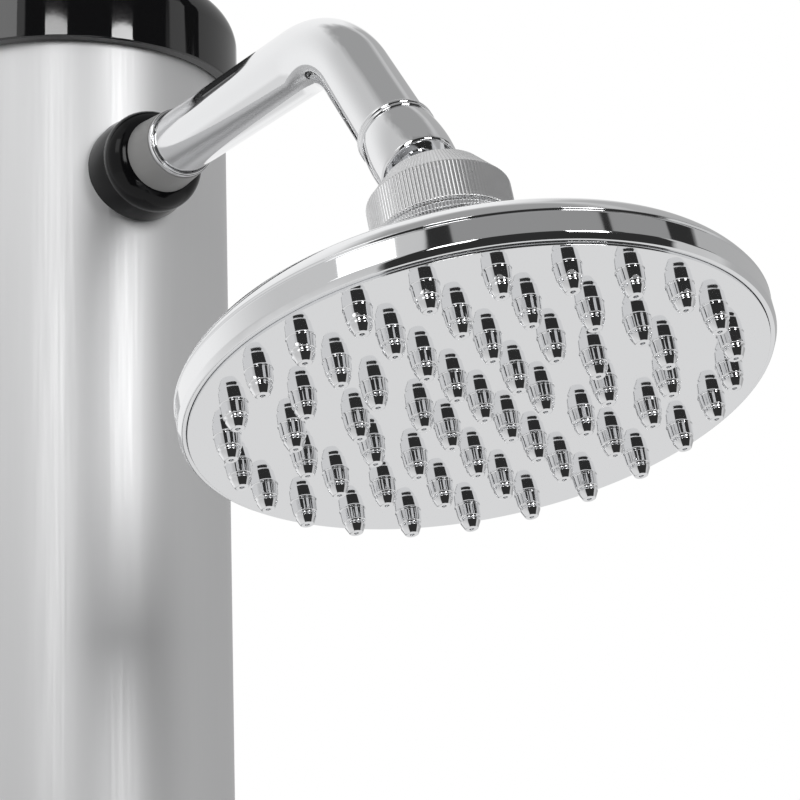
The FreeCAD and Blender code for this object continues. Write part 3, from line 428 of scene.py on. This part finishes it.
def arm_fitting():
    sleeve = [(FITTING_BORE, ROSETTE_NOSE), (12.1, ROSETTE_NOSE), (11.2, SLEEVE_END),
              (FITTING_BORE, SLEEVE_END)]
    turned("arm_sleeve", "post", sleeve, FORWARD, 0.25)
    ring = [(FITTING_BORE, SLEEVE_END), (10.6, SLEEVE_END), (10.6, SLEEVE_END + 0.5),
            (11, SLEEVE_END + 0.5), (11, SLEEVE_END + 2), (10.6, SLEEVE_END + 2),
            (10.6, SLEEVE_END + 2.5), (FITTING_BORE, SLEEVE_END + 2.5)]
    turned("sleeve_ring", "post", ring, FORWARD, 0.15)


# ------------------------------------------------------------ cap and tubes
def top_cap():
    outline = [(53.2, 0), (56.9, 0), (57.3, 0.4), (57.3, 17)]
    outline += arc(outline[-1], (43.3, 31), 14, -1)
    outline += arc(outline[-1], (0, 35.98), 190, -1, 20)
    outline += [(0, 33), (39.3, 28), (46.9, 17), (46.9, -22), (50.9, -22), (50.9, 8), (53.2, 8)]
    turned("top_cap", "post", outline, CAP, 0.4, 256)


face_plate()
nozzles()
head_shell()
swivel_nut()
swivel_collar()
shower_arm()
arm_rosette()
arm_fitting()
top_cap()


# ------------------------------------------------------------ room, light and camera
# The room faces this heading, in degrees from +Y towards +X. Bearings are counted from
# straight behind it, elevations from the level, both in degrees.
ROOM_HEADING = 28.2
SIDE_LEVEL = 0.60
SWEEP_LEVEL = 0.95
CEILING_LEVEL = 0.36
RIGHT_WALL_LEVEL = 0.45
FLOOR_LEVEL = 0.76
GREY_WALL_LEVEL = 0.30
DARK_LEVEL = 0.03
DIFFUSE_LEVEL = 0.62
# Patches of the room: left and right bearing, low and high elevation.
RIGHT_WALL = (98, 168, -20, 60)
GREY_WALL = (-26, 98, 29, 72)
DARK_ZONE = (-28, 74, -46, 31)
DARK_STRIPS = ((-27, -17, 20, 50), (53, 60, 20, 50), (88, 103, 20, 50))
# Name, bearing, elevation, distance, width, height (metres) and radiance.
SOFTBOXES = (("left_softbox", -8, 15.4, 2.28, 0.56, 0.89, 6),
             ("right_softbox", 39, 15.4, 2.28, 0.56, 0.89, 9),
             ("side_softbox", -46, 30, 2.4, 0.8, 1.0, 1.4))


def floor():
    """A pale floor that fades into the white backdrop away from the post."""
    mesh = mesh_object("floor", [(-6, -6, -0.0005), (6, -6, -0.0005), (6, 6, -0.0005),
                                 (-6, 6, -0.0005)], [(0, 1, 2, 3)])
    mat = material("pale_floor", (0.88, 0.88, 0.88), roughness=0.6)
    rough(mat, noise(mat, 3), 0.55, 0.65)
    where = add(mat, "ShaderNodeTexCoord")
    reach = add(mat, "ShaderNodeVectorMath", operation="LENGTH")
    join(mat, where.outputs["Object"], reach.inputs[0])
    fade = add(mat, "ShaderNodeMapRange", interpolation_type="SMOOTHSTEP")
    fade.inputs["From Min"].default_value = 0.3
    fade.inputs["From Max"].default_value = 2.6
    join(mat, reach.outputs["Value"], fade.inputs["Value"])
    blend = add(mat, "ShaderNodeMixShader")
    join(mat, fade.outputs["Result"], blend.inputs["Fac"])
    join(mat, mat.node_tree.nodes["Principled BSDF"].outputs["BSDF"], blend.inputs[1])
    join(mat, add(mat, "ShaderNodeBsdfTransparent").outputs["BSDF"], blend.inputs[2])
    join(mat, blend.outputs["Shader"], mat.node_tree.nodes["Material Output"].inputs["Surface"])
    mesh.data.materials.append(mat)
    mesh.visible_glossy = False


class Room:
    """The studio as the chrome sees it: bright ahead of the camera, dark behind it."""

    def __init__(self):
        world = bpy.data.worlds.new("studio")
        bpy.context.scene.world = world
        world.use_nodes = True
        self.nodes = world.node_tree.nodes
        self.links = world.node_tree.links
        where = self.nodes.new("ShaderNodeTexCoord")
        turn = self.nodes.new("ShaderNodeMapping")
        turn.inputs["Rotation"].default_value = (0, 0, math.radians(ROOM_HEADING))
        split = self.nodes.new("ShaderNodeSeparateXYZ")
        self.links.new(where.outputs["Generated"], turn.inputs["Vector"])
        self.links.new(turn.outputs["Vector"], split.inputs["Vector"])
        ripple = self.nodes.new("ShaderNodeTexNoise")
        ripple.inputs["Scale"].default_value = 7
        ripple.inputs["Detail"].default_value = 3
        self.links.new(where.outputs["Generated"], ripple.inputs["Vector"])
        wobble = self.math("MULTIPLY_ADD", ripple.outputs["Fac"], 0.22, -0.11)
        back = self.math("MULTIPLY", split.outputs["Y"], -1.0)
        bearing = self.math("ARCTAN2", split.outputs["X"], back)
        self.bearing = self.math("ADD", bearing, wobble)
        self.height = self.math("ADD", split.outputs["Z"], self.math("MULTIPLY", wobble, 0.5))
        self.ahead = split.outputs["Y"]

    def math(self, operation, *values):
        node = self.nodes.new("ShaderNodeMath")
        node.operation = operation
        for socket, value in zip(node.inputs, values):
            if isinstance(value, float):
                socket.default_value = value
            else:
                self.links.new(value, socket)
        return node.outputs["Value"]

    def rise(self, value, none, full):
        """A soft step that is 0 at none and 1 at full."""
        edge = self.nodes.new("ShaderNodeMapRange")
        edge.interpolation_type = "SMOOTHSTEP"
        edge.inputs["From Min"].default_value = none
        edge.inputs["From Max"].default_value = full
        self.links.new(value, edge.inputs["Value"])
        return edge.outputs["Result"]

    def patch(self, left, right, low, high, soft=2.0):
        """A soft patch between two bearings behind the camera and two elevations."""
        sides = self.math("MULTIPLY",
                          self.rise(self.bearing, math.radians(left - soft),
                                    math.radians(left + soft)),
                          self.rise(self.bearing, math.radians(right + soft),
                                    math.radians(right - soft)))
        levels = self.math("MULTIPLY",
                           self.rise(self.height, math.sin(math.radians(low - soft)),
                                     math.sin(math.radians(low + soft))),
                           self.rise(self.height, math.sin(math.radians(high + soft)),
                                     math.sin(math.radians(high - soft))))
        return self.math("MULTIPLY", sides, levels)

    def layer(self, below, factor, level):
        mix = self.nodes.new("ShaderNodeMix")
        mix.data_type = "RGBA"
        self.links.new(factor, mix.inputs["Factor"])
        mix.inputs["B"].default_value = (level, level, level, 1)
        if isinstance(below, float):
            mix.inputs["A"].default_value = (below, below, below, 1)
        else:
            self.links.new(below, mix.inputs["A"])
        return mix.outputs["Result"]

    def paint(self):
        path = self.nodes.new("ShaderNodeLightPath")
        shade = self.layer(SIDE_LEVEL, self.rise(self.ahead, -0.1, 0.6), SWEEP_LEVEL)
        shade = self.layer(shade, self.patch(*RIGHT_WALL, 8.0), RIGHT_WALL_LEVEL)
        shade = self.layer(shade, self.rise(self.height, 0.82, 0.94), CEILING_LEVEL)
        shade = self.layer(shade, self.rise(self.height, -0.25, -0.40), FLOOR_LEVEL)
        shade = self.layer(shade, self.patch(*GREY_WALL), GREY_WALL_LEVEL)
        shade = self.layer(shade, self.patch(*DARK_ZONE), DARK_LEVEL)
        for strip in DARK_STRIPS:
            shade = self.layer(shade, self.patch(*strip, 1.0), DARK_LEVEL)
        shade = self.layer(shade, path.outputs["Is Diffuse Ray"], DIFFUSE_LEVEL)
        shade = self.layer(shade, path.outputs["Is Camera Ray"], 1.0)
        self.links.new(shade, self.nodes["Background"].inputs["Color"])


def softbox(name, bearing, elevation, distance, width, height, radiance):
    """An area lamp that faces the shower head."""
    aim = Vector((0, -0.15, 1.98))
    turn, lift = math.radians(180 + ROOM_HEADING - bearing), math.radians(elevation)
    way = Vector((math.sin(turn) * math.cos(lift), math.cos(turn) * math.cos(lift),
                  math.sin(lift)))
    light = bpy.data.lights.new(name, "AREA")
    light.shape = "RECTANGLE"
    light.size = width
    light.size_y = height
    light.energy = radiance * math.pi * width * height
    holder = bpy.data.objects.new(name, light)
    bpy.context.scene.collection.objects.link(holder)
    holder.location = aim + way * distance
    holder.rotation_euler = (-way).to_track_quat("-Z", "Y").to_euler()


def camera():
    """The photograph's viewpoint, fitted to the tube, the arm and the spray face."""
    focal_pixels, picture = 2429.7, 800.0
    place = Vector((-326.12, -727.64, 1809.84)) * MM
    ahead = Vector((0.51647, 0.82379, 0.2337))
    right = Vector((0.85071, -0.52478, -0.03018))
    up = Vector((-0.09777, -0.2144, 0.97184))
    data = bpy.data.cameras.new("camera")
    data.sensor_width = 36.0
    data.lens = focal_pixels / picture * data.sensor_width
    data.clip_start = 0.02
    holder = bpy.data.objects.new("camera", data)
    bpy.context.scene.collection.objects.link(holder)
    turn = Matrix((right, up, -ahead)).transposed().to_4x4()
    holder.matrix_world = Matrix.Translation(place) @ turn
    bpy.context.scene.camera = holder


floor()
Room().paint()
for box in SOFTBOXES:
    softbox(*box)
camera()
bpy.context.scene.view_settings.view_transform = "Standard"
